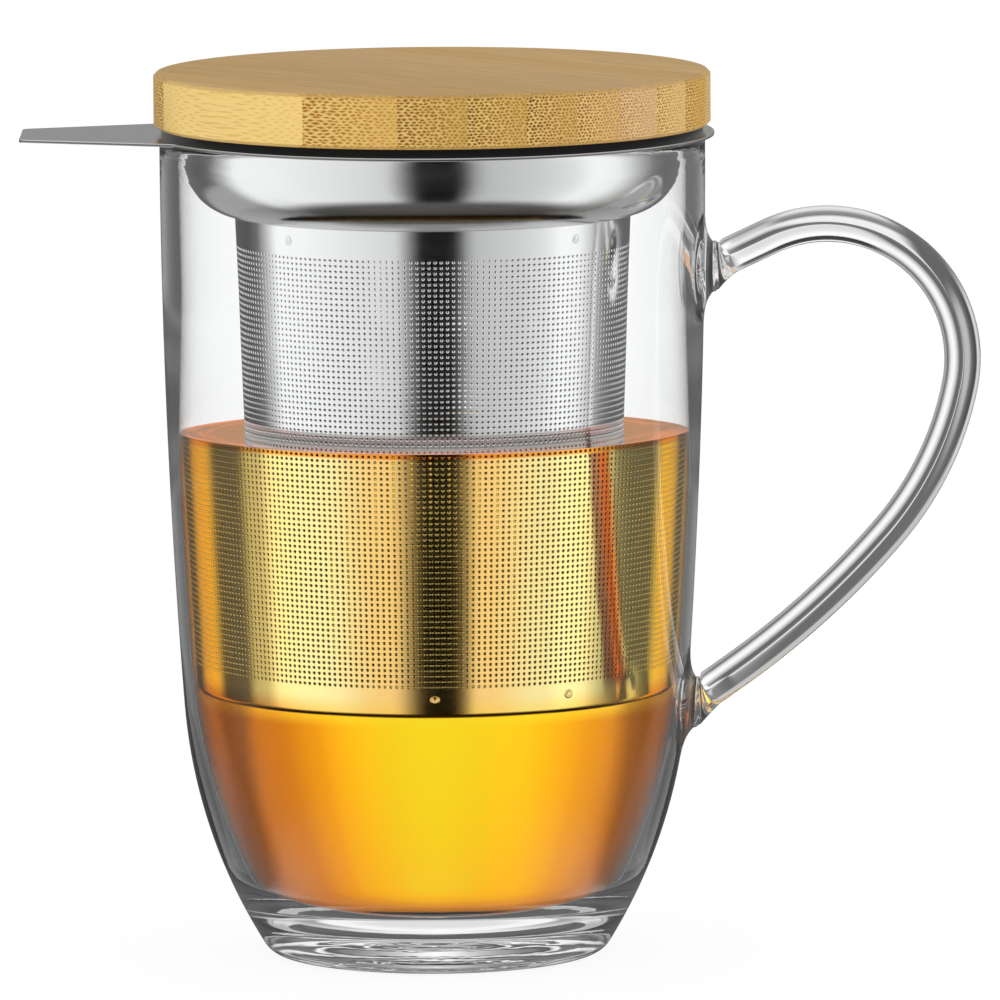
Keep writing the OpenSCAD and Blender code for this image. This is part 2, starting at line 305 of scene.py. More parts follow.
def modified(obj, kind, **settings):
    """Adds a modifier to obj and applies it."""
    modifier = obj.modifiers.new(kind, kind)
    for key, value in settings.items():
        setattr(modifier, key, value)
    alone(obj)
    bpy.ops.object.modifier_apply(modifier=modifier.name)


def repeated(obj, count, step):
    """A row of copies in one mesh, merged where they meet."""
    modified(
        obj, "ARRAY", count=count, use_relative_offset=False, use_constant_offset=True,
        constant_offset_displace=step, use_merge_vertices=True, merge_threshold=0.002 * MM,
    )


def fused(whole, part):
    """Part becomes one solid with whole and is gone."""
    modified(whole, "BOOLEAN", operation="UNION", object=part, solver="EXACT")
    bpy.data.objects.remove(part)


def select_rim(obj, wanted):
    """In edit mode, selects just the open edges whose two ends suit wanted, a test on a point in millimetres."""
    pick(False)
    leave_edit()
    mesh = obj.data
    faces_at = [0] * len(mesh.edges)
    for loop in mesh.loops:
        faces_at[loop.edge_index] += 1
    fits = [wanted(v.co / MM) for v in mesh.vertices]
    for edge in mesh.edges:
        edge.select = faces_at[edge.index] < 2 and all(fits[v] for v in edge.vertices)
    bpy.ops.object.mode_set(mode="EDIT")
    bpy.ops.mesh.select_mode(type="EDGE")


def turned_copy(obj, name, degrees):
    """A copy of obj with its own mesh, turned around the Z axis."""
    copy = obj.copy()
    copy.data = obj.data.copy()
    copy.name = copy.data.name = name
    bpy.context.scene.collection.objects.link(copy)
    copy.data.transform(Matrix.Rotation(math.radians(degrees), 4, "Z"))
    return copy


def finish_piece(obj, body, material, slot, *nodes):
    """Gives obj its material and its body, and hides the CAD nodes that it stands for. The slot is not used."""
    obj.data.materials.clear()
    obj.data.materials.append(material)
    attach(obj, body)
    if nodes:
        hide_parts(*nodes)


# ---- the glass

def cup():
    rim_out, rim_in = MUG_R - RIM_CORNER_R, MUG_R - GLASS_T + RIM_CORNER_R
    rim_z = MUG_H - RIM_CORNER_R
    outside = glass_face(0, 0, FOOT_CORNER_R, rim_z)
    inside = glass_face(GLASS_T, FLOOR_Z, FLOOR_CORNER_R, rim_z)
    outline = (
        swell(outside[0][0] - FOOT_RING_W, 0, HOLLOW_H)
        + outside
        + arc(rim_out, rim_z, RIM_CORNER_R, 0, 90, 8)[1:]
        + arc(rim_in, rim_z, RIM_CORNER_R, 90, 180, 8)[:-1]
        + inside[::-1]
        + swell(inside[0][0], FLOOR_Z, DOME_H, RIPPLE_H, 48)[-2::-1]
    )
    return spun("glass_body", outline, MUG_STEPS, 60)


def stepped(stop, length):
    """The stop, a point and a heading, after a straight stretch."""
    (x, z), heading = stop
    turn = math.radians(heading)
    return (x + length * math.cos(turn), z + length * math.sin(turn)), heading


def bent(stop, r, angle):
    """The stop after a clockwise bend of that radius and angle."""
    (x, z), heading = stop
    a, b = math.radians(heading), math.radians(heading - angle)
    point = (x + r * (math.sin(a) - math.sin(b)), z + r * (math.cos(b) - math.cos(a)))
    return point, heading - angle


def weld_rings(point, rod_heading, back):
    """A weld's rings, each (centre, heading, radius, distance, turn share)."""
    normal = wall_heading(point[1])
    rings = []
    for distance, r, share in WELD_RINGS:
        heading = normal + share * (rod_heading - normal)
        centre = stepped((point, heading), distance)[0]
        rings.append((centre, heading - 180 if back else heading, r, distance, share))
    return rings[::-1] if back else rings


def handle_start():
    return (wall_r(HANDLE_Z), HANDLE_Z), HANDLE_RISE


def tail_start():
    return bent(bent(stepped(handle_start(), HANDLE_STRAIGHT), *FINGER_BEND), *PALM_BEND)


def tail_turn():
    """How far the last bend turns before it meets the wall."""
    angle = 0
    (x, z), _ = tail_start()
    while x > wall_r(z):
        angle += 0.02
        (x, z), _ = bent(tail_start(), TAIL_BEND_R, angle)
    return angle


def handle_end():
    return bent(tail_start(), TAIL_BEND_R, tail_turn())


def rod_ring(stop):
    return stop[0], stop[1], ROD_R, 0, 1


def handle_rings():
    """The handle's rings from the upper weld along the rod to the lower one."""
    start = handle_start()
    finger = stepped(start, HANDLE_STRAIGHT)
    palm = bent(finger, *FINGER_BEND)
    tail = tail_start()
    end = handle_end()
    return (
        weld_rings(start[0], HANDLE_RISE, False)
        + [rod_ring(stepped(start, at)) for at in (6, 8, 10)]
        + [rod_ring(bent(finger, FINGER_BEND[0], a)) for a in range(0, int(FINGER_BEND[1]), 3)]
        + [rod_ring(bent(palm, PALM_BEND[0], a)) for a in range(0, int(PALM_BEND[1]), 2)]
        + [rod_ring(bent(tail, TAIL_BEND_R, a)) for a in range(int(tail_turn() - 2))]
        + weld_rings(end[0], end[1] + 180, True)
    )


def on_ring(ring, up, side):
    """Where a ring carries the point (up, side) of a circle of radius 1. Near the wall it follows the wall."""
    (cx, cz), heading, r, distance, share = ring
    turn = math.radians(heading)
    x, y, z = cx - r * up * math.sin(turn), r * side, cz + r * up * math.cos(turn)
    if share < 1:
        along_wall = math.sqrt((wall_r(z) + distance) ** 2 - y * y)
        x = along_wall + share * (x - along_wall)
    return Vector((x, y, z))


def handle():
    """A straight bar with one level for each ring, laid along the handle's route."""
    rings = handle_rings()
    obj = added("handle_rod", bpy.ops.mesh.primitive_circle_add, vertices=ROD_SIDES, radius=MM, fill_type="NGON")
    edit(obj)
    for _ in rings[1:]:
        extrude(0, 0, 1)
    leave_edit()
    for vertex in obj.data.vertices:
        up, side, level = vertex.co / MM
        vertex.co = on_ring(rings[round(level)], up, side) * MM
    edit(obj)
    close_up(obj, 60)
    return obj


def glass():
    body = cup()
    fused(body, handle())
    edit(body)
    close_up(body, 60)
    return body


# ---- the tea

def tea():
    """What is in the mug. A hair of air is left round it, so that the wall of glass shows beside it."""
    face = glass_face(GLASS_T + TEA_GAP, FLOOR_Z + TEA_GAP, FLOOR_CORNER_R, TEA_Z)
    outline = swell(face[0][0], face[0][1], DOME_H, RIPPLE_H, 48)[:-1] + face + [(20, TEA_Z), (0, TEA_Z)]
    return spun("tea", outline, MUG_STEPS, 50)


# ---- the infuser

def collar_outline():
    """The pressed sheet's outline, from the flange's edge in over the bend and down to the neck, and back."""
    corner_x = BOWL_R - BOWL_CORNER_R
    turn = math.degrees(math.acos((BASKET_TOP_R - corner_x) / BOWL_CORNER_R))
    corner_z = NECK_Z + BOWL_CORNER_R * math.sin(math.radians(turn))
    bend_x, bend_z = BOWL_R + FLANGE_BEND_R, MUG_H - FLANGE_BEND_R
    top_z, low_z = MUG_H + COLLAR_T, NECK_Z - LAP_H
    outside = arc(bend_x, bend_z, FLANGE_BEND_R, 90, 180, 8)
    outside += [(BOWL_R, bend_z - 0.6)] + arc(corner_x, corner_z, BOWL_CORNER_R, 0, -turn, 22)[:-2]
    outside += arc(BASKET_TOP_R + 0.2, NECK_Z + NECK_BEAD_R, NECK_BEAD_R, 30, -90, 8)
    outside += [(lap_r(NECK_Z), NECK_Z), (lap_r(NECK_Z - 0.4), NECK_Z - 0.4), (lap_r(low_z), low_z)]
    inside = [(lap_r(low_z) - COLLAR_T, low_z), (lap_r(NECK_Z) - COLLAR_T, NECK_Z + COLLAR_T)]
    inside += arc(corner_x, corner_z, BOWL_CORNER_R - COLLAR_T, -turn, 0, 22)
    inside += [(BOWL_R - COLLAR_T, bend_z - 0.6)] + arc(bend_x, bend_z, FLANGE_BEND_R + COLLAR_T, 180, 90, 8)
    edge_x = FLANGE_R - EDGE_R
    edge = arc(edge_x, top_z - EDGE_R, EDGE_R, 90, 0, 4) + arc(edge_x, MUG_H + EDGE_R, EDGE_R, 0, -90, 4)
    return edge + outside + inside + edge[:1]


def finger_tab():
    """The flat tab, cut from the same sheet as the flange, with its edge broken all round."""
    root_x = math.sqrt(FLANGE_R**2 - (TAB_ROOT_W / 2) ** 2) - 2
    tip_x = FLANGE_R + TAB_L - TAB_CORNER_R
    tip_y = TAB_TIP_W / 2 - TAB_CORNER_R
    side_turn = math.degrees(math.atan2((TAB_ROOT_W - TAB_TIP_W) / 2, FLANGE_R + TAB_L - root_x - 2))
    half = arc(tip_x, tip_y, TAB_CORNER_R, 0, 90 - side_turn, 8) + [(root_x, TAB_ROOT_W / 2 + 0.3)]
    outline = [(x, -y) for x, y in half[::-1]] + half
    obj = drawn("finger_tab", outline)
    pick()
    bpy.ops.mesh.edge_face_add()
    leave_edit()
    for vertex in obj.data.vertices:
        vertex.co = (-vertex.co.x, vertex.co.z, MUG_H * MM)
    edit(obj)
    extrude(0, 0, COLLAR_T)
    close_up(obj, 30)
    modified(obj, "BEVEL", width=EDGE_R * MM, segments=3, limit_method="ANGLE", angle_limit=math.radians(60))
    return obj


def collar():
    body = spun("steel_collar", collar_outline(), STEEL_STEPS, 32)
    fused(body, finger_tab())
    edit(body)
    close_up(body, 32)
    return body


def hole_edge(name, r):
    """A new object in edit mode: the edge of one hole, with a flat side towards each neighbour."""
    turn = (0, 0, math.pi / HOLE_SIDES)
    obj = added(name, bpy.ops.mesh.primitive_circle_add, vertices=HOLE_SIDES, radius=r * MM, rotation=turn)
    bpy.ops.object.transform_apply(location=True, rotation=True, scale=True)
    edit(obj)
    return obj


def widen(x, y, z):
    """In edit mode, scales what is selected about the axis at height z."""
    bpy.ops.transform.resize(value=(x, y, 1), center_override=(0, 0, z * MM))


def cell_edge(width, length, z):
    """In edit mode, adds the four edges of a cell at height z."""
    pick(False)
    bpy.ops.mesh.primitive_plane_add(size=MM, location=(0, 0, z * MM))
    widen(width, length, z)
    bpy.ops.mesh.delete(type="ONLY_FACE")


def floor_cell(name):
    """One cell of the etched floor: a flat square with a round hole."""
    obj = hole_edge(name, HOLE_R)
    cell_edge(FLOOR_PITCH, FLOOR_PITCH, 0)
    pick()
    bpy.ops.mesh.fill()
    pick()
    bpy.ops.mesh.normals_make_consistent(inside=False)
    return obj


def etched_cell(name):
    """One cell of the etched wall, both faces of the sheet: a hole with a rounded edge on the outer face."""
    obj = hole_edge(name, LIP_R)
    extrude(0, 0, -LIP_DEPTH)
    widen(HOLE_R / LIP_R, HOLE_R / LIP_R, -LIP_DEPTH)
    extrude(0, 0, LIP_DEPTH - BASKET_T)
    for depth in (0, -BASKET_T):
        cell_edge(CELL_W, ROW_PITCH, depth)
        select_rim(obj, lambda p: abs(p.z - depth) < 0.01)
        bpy.ops.mesh.fill()
    return obj


def basket_panel():
    """An eighth of the basket's wall, etched flat, one column copied sideways, and rolled."""
    last_z = FIRST_ROW_Z - (HOLE_ROWS - 1) * ROW_PITCH
    obj = etched_cell("basket_panel_1")
    pick()
    shift(0, last_z, 0)
    leave_edit()
    repeated(obj, HOLE_ROWS, (0, ROW_PITCH * MM, 0))
    edit(obj)
    low, high = last_z - ROW_PITCH / 2, FIRST_ROW_Z + ROW_PITCH / 2
    for edge_z, band_end in ((low, BASKET_BOTTOM_Z), (high, NECK_Z)):
        select_rim(obj, lambda p: abs(p.y - edge_z) < 0.01)
        extrude(0, band_end - edge_z, 0)
    leave_edit()
    repeated(obj, HOLE_COLUMNS // PANELS, (CELL_W * MM, 0, 0))
    edit(obj)
    select_rim(obj, lambda p: True)
    bpy.ops.mesh.bridge_edge_loops()
    leave_edit()
    turn_step = math.tau / HOLE_COLUMNS
    first_turn = math.tau / 8 + turn_step / 2
    for vertex in obj.data.vertices:
        x, z, depth = vertex.co / MM
        if abs(x / CELL_W - round(x / CELL_W)) > 0.4:  # a cell's corner, where columns meet
            turn = first_turn + turn_step * x / CELL_W
        else:
            column = round(x / CELL_W)
            turn = first_turn + turn_step * column + (x - column * CELL_W) / basket_r(z)
        r = basket_r(z) + depth
        vertex.co = Vector((r * math.cos(turn), r * math.sin(turn), z)) * MM
    edit(obj)
    close_up(obj, 30)
    return obj


def cell_middle(x, y):
    """The middle of the floor's cell that holds the point."""
    return round(x / FLOOR_PITCH) * FLOOR_PITCH, round(y / FLOOR_PITCH) * FLOOR_PITCH


def basket_floor():
    """The cup in the basket's lower end: an etched floor in a square grid, and a plain wall."""
    count = 2 * int(FLOOR_HOLES_R / FLOOR_PITCH) + 1
    first = -(count - 1) / 2 * FLOOR_PITCH
    obj = floor_cell("basket_floor")
    shift(first, first, 0)
    leave_edit()
    repeated(obj, count, (FLOOR_PITCH * MM, 0, 0))
    repeated(obj, count, (0, FLOOR_PITCH * MM, 0))
    edit(obj)
    pick(False)
    leave_edit()
    for face in obj.data.polygons:
        face.select = math.hypot(*cell_middle(face.center.x / MM, face.center.y / MM)) > FLOOR_HOLES_R
    bpy.ops.object.mode_set(mode="EDIT")
    bpy.ops.mesh.select_mode(type="FACE")
    bpy.ops.mesh.delete(type="FACE")
    # The plain ring around the grid
    corner_r = lap_r(BASKET_BOTTOM_Z) - CUP_CORNER_R
    bpy.ops.mesh.primitive_circle_add(vertices=STEEL_STEPS, radius=corner_r * MM)

    def off_holes(p):
        middle = cell_middle(p.x, p.y)
        return math.hypot(p.x - middle[0], p.y - middle[1]) > 1.5 * HOLE_R or p.xy.length > FLOOR_HOLES_R + 2

    select_rim(obj, off_holes)
    bpy.ops.mesh.fill()
    # The corner and the wall
    lap_top = BASKET_BOTTOM_Z + LAP_H
    corner = arc(corner_r, CUP_CORNER_R, CUP_CORNER_R, -90, 0, 6)
    outline = corner + [(lap_r(lap_top), LAP_H + CUP_CORNER_R)]
    for (r0, z0), (r, z) in zip(outline, outline[1:]):
        select_rim(obj, lambda p: abs(p.xy.length - r0) < 0.02 and abs(p.z - z0) < 0.02)
        extrude(0, 0, z - z0)
        widen(r / r0, r / r0, z)
    bpy.ops.mesh.select_mode(type="VERT")
    merge()
    shift(0, 0, BASKET_BOTTOM_Z - CUP_CORNER_R)
    leave_edit()
    floor_face = min(obj.data.polygons, key=lambda f: f.center.length)
    if floor_face.normal.z > 0:
        obj.data.flip_normals()
    modified(obj, "SOLIDIFY", thickness=BASKET_T * MM, offset=-1)
    smooth_faces(obj, 30)
    return obj


def spot_welds(name, places):
    """The marks of a spot welder: shallow craters with a raised rim, sunk a little into the sheet."""
    crater = [(0, 0.02), (0.3, 0.02), (0.42, 0.07), (0.52, 0.1), (0.62, 0.08)]
    shape = crater + [(SPOT_R, -0.02), (SPOT_R, -0.2), (0, -0.2)]
    marks = []
    for turn, z in places:
        mark = spun(f"{name}_mark", shape, 24, 40)
        theta = math.radians(turn - 90)
        place = Vector((basket_r(z) * math.cos(theta), basket_r(z) * math.sin(theta), z)) * MM
        mark.data.transform(
            Matrix.Translation(place) @ Matrix.Rotation(theta, 4, "Z") @ Matrix.Rotation(math.pi / 2, 4, "Y")
        )
        marks.append(mark)
    alone(marks[0])
    for mark in marks:
        mark.select_set(True)
    bpy.ops.object.join()
    marks[0].name = marks[0].data.name = name
    return marks[0]


# ---- materials

def is_output(value):
    return isinstance(value, bpy.types.NodeSocket)


def feed(socket, value):
    """Links the socket to another node's output, or sets its value."""
    if is_output(value):
        socket.id_data.links.new(value, socket)
    else:
        socket.default_value = value


def put(kind, inputs, **settings):
    """A node with its settings and its inputs fed, in the tree that its first fed input comes from."""
    tree = next(value.id_data for value in inputs.values() if is_output(value))
    made = tree.nodes.new(kind)
    for name, value in settings.items():
        setattr(made, name, value)
    for key, value in inputs.items():
        feed(made.inputs[key], value)
    return made


def calc(operation, *values, **settings):
    return put("ShaderNodeMath", dict(enumerate(values)), operation=operation, **settings).outputs[0]


def times_plus(value, factor, addend, **settings):
    return calc("MULTIPLY_ADD", value, factor, addend, **settings)


def product(first, *others):
    for other in others:
        first = calc("MULTIPLY", first, other)
    return first


def rest(share):
    """What a share leaves of 1."""
    return calc("SUBTRACT", 1.0, share)


def blend(share, first, second):
    """A number between two others."""
    return calc("ADD", product(rest(share), first), product(share, second))


def eased(value, low, high, to_low=0.0, to_high=1.0):
    """Goes smoothly from to_low to to_high as value goes from low to high."""
    limits = {"Value": value, "From Min": low, "From Max": high, "To Min": to_low, "To Max": to_high}
    return put("ShaderNodeMapRange", limits, interpolation_type="SMOOTHSTEP").outputs["Result"]


def between(value, start, full_from, full_to, end):
    """1 from full_from to full_to, and smoothly down to 0 at start and end."""
    return product(eased(value, start, full_from), eased(value, full_to, end, 1, 0))


def mix_colours(share, first, second):
    """A colour between two others."""
    return put("ShaderNodeMix", {0: share, 6: first, 7: second}, data_type="RGBA").outputs[2]


def scaled(vector, factors):
    return put("ShaderNodeVectorMath", {0: vector, 1: factors}, operation="MULTIPLY").outputs[0]


def parts_of(vector):
    return put("ShaderNodeSeparateXYZ", {"Vector": vector}).outputs


def vector_of(x, y, z):
    return put("ShaderNodeCombineXYZ", {"X": x, "Y": y, "Z": z}).outputs[0]


def colour_of(*channels):
    return put("ShaderNodeCombineColor", dict(enumerate(channels))).outputs[0]


def colour_ramp(value, stops):
    """A colour read from stops, each (value from 0 to 1, colour)."""
    ramp = put("ShaderNodeValToRGB", {"Fac": value})
    elements = ramp.color_ramp.elements
    elements.remove(elements[1])
    for i, (at, colour) in enumerate(stops):
        stop = elements[0] if i == 0 else elements.new(at)
        stop.position = at
        stop.color = (*colour, 1)
    return ramp.outputs["Color"]


def grey_ramp(value, low, high, stops):
    """A brightness read from stops, each (value, brightness), as value goes from low to high."""
    share = calc("DIVIDE", calc("SUBTRACT", value, low), high - low)
    colour = colour_ramp(share, [((at - low) / (high - low), (light,) * 3) for at, light in stops])
    return put("ShaderNodeSeparateColor", {"Color": colour}).outputs[0]


def noise(vector, scale, detail, roughness=0.5):
    inputs = {"Vector": vector, "Scale": scale, "Detail": detail, "Roughness": roughness}
    return put("ShaderNodeTexNoise", inputs).outputs["Fac"]


def new_group(name, inputs, outputs):
    """An empty shader group, with its input and output nodes."""
    tree = bpy.data.node_groups.new(name, "ShaderNodeTree")
    kinds = {"float": "NodeSocketFloat", "colour": "NodeSocketColor", "vector": "NodeSocketVector"}
    for label, kind in inputs:
        tree.interface.new_socket(label, in_out="INPUT", socket_type=kinds[kind])
    for label, kind in outputs:
        tree.interface.new_socket(label, in_out="OUTPUT", socket_type=kinds[kind])
    return tree, tree.nodes.new("NodeGroupInput").outputs, tree.nodes.new("NodeGroupOutput").inputs


def use_group(group, inputs):
    return put("ShaderNodeGroup", inputs, node_tree=group).outputs


def new_material(name, **constants):
    """A material, its node tree and its Principled shader with its constants set on its own sockets."""
    material = bpy.data.materials.new(name)
    material.use_nodes = True
    tree = material.node_tree
    shader = next(n for n in tree.nodes if n.type == "BSDF_PRINCIPLED")
    for label, value in constants.items():
        shader.inputs[label.replace("_", " ")].default_value = value
    return material, tree, shader.inputs


def bump(height, distance, strength=1.0):
    inputs = {"Height": height, "Distance": distance, "Strength": strength}
    return put("ShaderNodeBump", inputs).outputs["Normal"]


def from_node(tree, kind):
    """The outputs of a node that needs no inputs."""
    return tree.nodes.new(kind).outputs


def object_place(tree):
    return from_node(tree, "ShaderNodeTexCoord")["Object"]


# The set as metal and the edges of glass mirror it: soft boxes at both sides, dark flags beside
# the backdrop and a dark strip in front, each stop (bearing from straight behind towards the
# handle's side in degrees, brightness)
SET_ROUND = (
    (-180, 0), (-173, 0), (-169, 0.12), (-165, 0.32), (-159, 0.68), (-130, 0.82), (-100, 0.95),
    (-78, 1), (-68, 0.5), (-58, 0.14), (-45, 0.08), (-12, 0.1), (48, 0.12), (60, 0.2), (72, 0.5),
    (86, 0.95), (100, 1), (112, 0.78), (128, 0.64), (154, 0.52), (160, 0.34), (164, 0.1),
    (168, 0), (180, 0),
)
SET_STRENGTH = 1.18
OVERHEAD = 0.85
HORIZON_OUTSIDE = 0.3
HORIZON_IN_MUG = 0.95
LOW_FILL = 0.45
LOW_IN_FOOT = 0.9
UNDERNEATH = 0.7
UNDER_STEEL = 0.1
MANY_BOUNCES = 0.55
CEILING = 0.62  # the plain light from above, against 1 from the sides
# More light for what is mirrored in the tea: all of it, the backdrop, the front and the left
IN_TEA = 1.27
BACK_GLOW = 1.3
FRONT_FILL = 0.95
LEFT_FILL = 0.6
# The red, green and blue that the tea takes from mirrored light: from all of it, from the soft boxes
# in front, from the backdrop, and from what its surface mirrors
TEA_TAKES = (0.0, 0.05, 0.04)
FRONT_TAKES = (0.0, 0.22, 0.4)
BACK_TAKES = (0.0, 0.28, 0.85)
SURFACE_TAKES = (0.1, 0.5, 0.72)
# How many faces light has passed when it has crossed one wall, the mug, and the tea in it
PAST_WALL = 1.5
PAST_MUG = 2.5
PAST_TEA = 4.5

# How the foot and one wall of glass mirror the set near the level, by the rise of the ray
NEAR_LEVEL = (
    (-1, 0.16), (-0.12, 0.16), (-0.09, 0.3), (-0.05, 0.12), (0, 0.06), (0.04, 0.04),
    (0.06, 0.6), (0.09, 1), (0.11, 0.12), (0.15, 0.04), (0.17, 0.85), (0.2, 0.9), (0.22, 0.04),
    (0.3, 0.2), (1, 0.85),
)

# What the wall of glass mirrors at the mug's outline, by degrees away from straight behind
IN_WALL = (
    (0, 0.95), (4, 0.82), (8, 0.58), (14, 0.36), (20, 0.2), (25, 0.14), (30, 0.11), (36, 0.07),
    (90, 0),
)

# The same set as the mug shows what is behind it, by bearing, and then by the rise of the ray (its
# sine): soft boxes and dark flags hang over the backdrop
BEHIND_MUG = (
    (-180, 0.85), (-95, 0.85), (-78, 0.7), (-62, 0.66), (-52, 0.86), (-41, 0.84), (-35, 0.6),
    (-30, 0.62), (-25, 1.2), (-11, 1.15), (-5, 1), (5, 1), (11, 1.15), (25, 1.2), (29, 0.62),
    (34, 0.6), (40, 1), (54, 1), (64, 0.75), (78, 0.8), (95, 0.85), (180, 0.85),
)
OVER_BACKDROP = (
    (-1, 0.55), (-0.85, 0.62), (-0.5, 1), (0.12, 1), (0.3, 0.85), (0.6, 0.2), (1, 0.3),
)
# And as the solid handle bends it, by degrees away from straight behind: towards the mug's side,
# level and aslant, away from it, and from below to above
BEHIND_HANDLE_LEVEL = (
    (0, 0.3), (4, 0.5), (12, 0.5), (18, 0.17), (27, 0.08), (35, 0.08), (41, 0.75), (90, 0.6),
)
BEHIND_HANDLE_ASLANT = (
    (0, 0.15), (28, 0.15), (34, 0.55), (90, 0.5),
)
BEHIND_HANDLE_OUT = (
    (0, 0.2), (5, 0.13), (8, 0.15), (12, 0.52), (16, 0.8), (20, 1), (29, 0.85), (36, 0.38),
    (44, 0.12), (52, 0.4), (90, 0.6),
)
BEHIND_HANDLE_UP = (
    (-90, 0.6), (-50, 0.85), (-38, 0.75), (-28, 0.3), (-19, 0.22), (-13, 0.9), (0, 0.85), (7, 0.72),
    (14, 0.8), (21, 1), (28, 1), (32, 0.02), (50, 0.02), (54, 1), (62, 1), (68, 0.05),
    (85, 0.02), (90, 0.3),
)
LOW_ASLANT = 0.13  # aslant below the middle
CAMERA_DIP = 6.9


def behind_handle(bearing, rise, far_off):
    """What the solid handle shows of the backdrop. Far off it shows what the mug shows."""
    up = calc("ADD", calc("DEGREES", calc("ARCSINE", rise)), CAMERA_DIP)
    off = calc("SQRT", calc("ADD", product(bearing, bearing), product(up, up)))
    turn = calc("ABSOLUTE", calc("DEGREES", calc("ARCTAN2", up, product(bearing, -1.0))))
    level = grey_ramp(off, 0, 90, BEHIND_HANDLE_LEVEL)
    aslant = grey_ramp(off, 0, 90, BEHIND_HANDLE_ASLANT)
    aslant = blend(eased(up, -6.0, 0.0), LOW_ASLANT, aslant)
    seen = blend(eased(turn, 15.0, 38.0), level, aslant)
    seen = blend(eased(turn, 52.0, 68.0), seen, grey_ramp(up, -90, 90, BEHIND_HANDLE_UP))
    seen = blend(eased(turn, 112.0, 128.0), seen, grey_ramp(off, 0, 90, BEHIND_HANDLE_OUT))
    return blend(eased(off, 70.0, 90.0), seen, far_off)


def in_mirrors(ray, bearing, rise, crossed):
    """What metal and the edges of glass mirror of the set, and the share of each colour that tea takes."""
    wide = calc("ABSOLUTE", bearing)
    entered = calc("MINIMUM", ray["Transmission Depth"], 1.0)
    past_wall = calc("GREATER_THAN", ray["Transmission Depth"], PAST_WALL)
    in_tea = calc("GREATER_THAN", ray["Transmission Depth"], PAST_TEA)
    bounced = calc("SUBTRACT", ray["Glossy Depth"], 1.0, use_clamp=True)
    panels = product(grey_ramp(bearing, -180, 180, SET_ROUND), SET_STRENGTH)

    # In the tea
    glow = product(in_tea, rest(eased(wide, 8.0, 26.0)))
    panels = calc("MAXIMUM", panels, product(glow, BACK_GLOW))
    front = product(between(wide, 95.0, 110.0, 155.0, 165.0), FRONT_FILL)
    left = product(between(bearing, -120.0, -100.0, -60.0, -46.0), LEFT_FILL)
    panels = calc("MAXIMUM", panels, product(calc("MAXIMUM", front, left), in_tea))
    panels = product(panels, blend(in_tea, 1.0, IN_TEA))

    # The glass itself mirrors the soft boxes faintly, and the backdrop in its wall
    faint = product(rest(crossed), eased(wide, 52.0, 64.0))
    faint = product(faint, times_plus(entered, 0.1, 0.85))
    panels = product(panels, rest(faint))
    in_wall = product(grey_ramp(wide, 0, 90, IN_WALL), calc("SUBTRACT", past_wall, crossed))
    panels = calc("MAXIMUM", panels, in_wall)

    # Low down, level, overhead and underneath
    low_down = eased(rise, -0.38, -0.28, 1, 0)
    low = blend(crossed, eased(rise, -0.64, -0.54, 1, 0), low_down)
    low = product(low, eased(wide, 105.0, 150.0, 1, 0))
    fill = calc("MAXIMUM", panels, blend(crossed, LOW_IN_FOOT, LOW_FILL))
    mirrored = blend(low, panels, fill)
    level = blend(crossed, eased(rise, -0.085, -0.06), eased(rise, -0.05, 0.03))
    horizon = blend(entered, HORIZON_OUTSIDE, grey_ramp(rise, -1, 1, NEAR_LEVEL))
    mirrored = blend(level, mirrored, blend(crossed, horizon, HORIZON_IN_MUG))
    mirrored = blend(eased(rise, 0.3, 0.7), mirrored, OVERHEAD)
    under = blend(crossed, UNDERNEATH, UNDER_STEEL)
    mirrored = blend(eased(rise, -0.86, -0.7), under, mirrored)
    mirrored = blend(product(bounced, 0.6), mirrored, MANY_BOUNCES)
    dim = calc("MAXIMUM", eased(rise, -0.65, -0.45, 0.7, 0.0), product(bounced, 0.95))
    mirrored = product(mirrored, rest(product(dim, in_tea)))

    warm = product(eased(wide, 115.0, 150.0), in_tea)
    surface = product(level, calc("SUBTRACT", crossed, in_tea))
    surface = product(surface, eased(wide, 24.0, 34.0, 1, 0), rest(bounced))
    taken = (0.0, 0.0, 0.0)
    takes = ((in_tea, TEA_TAKES), (warm, FRONT_TAKES), (surface, SURFACE_TAKES), (glow, BACK_TAKES))
    for share, colour in takes:
        taken = [times_plus(share, part, so_far, use_clamp=True) for part, so_far in zip(colour, taken)]
    return mirrored, taken


def light_world():
    """White behind the glass, a set of panels in mirrors, and a plain soft light on all else."""
    world = bpy.data.worlds.new("Soft studio")
    bpy.context.scene.world = world
    world.use_nodes = True
    tree = world.node_tree
    x, y, rise = parts_of(from_node(tree, "ShaderNodeTexCoord")["Generated"])
    bearing = calc("DEGREES", calc("ARCTAN2", x, y))
    ray = from_node(tree, "ShaderNodeLightPath")
    crossed = calc("GREATER_THAN", ray["Transmission Depth"], PAST_MUG)
    mirrored, taken = in_mirrors(ray, bearing, rise, crossed)
    through_mug = product(grey_ramp(bearing, -180, 180, BEHIND_MUG), grey_ramp(rise, -1, 1, OVER_BACKDROP))
    seen_through = blend(crossed, behind_handle(bearing, rise, through_mug), through_mug)
    shine = calc("MAXIMUM", ray["Is Glossy Ray"], ray["Is Transmission Ray"])
    mirror = calc("MINIMUM", ray["Glossy Depth"], 1.0)
    plain = eased(rise, 0.1, 0.95, 1.0, CEILING)
    light = blend(shine, plain, blend(mirror, seen_through, mirrored))
    light = calc("MAXIMUM", light, ray["Is Camera Ray"])
    in_mirror = product(mirror, shine)
    channels = [product(light, rest(product(in_mirror, share))) for share in taken]
    backdrop = next(n for n in tree.nodes if n.type == "BACKGROUND").inputs
    feed(backdrop["Color"], colour_of(*channels))


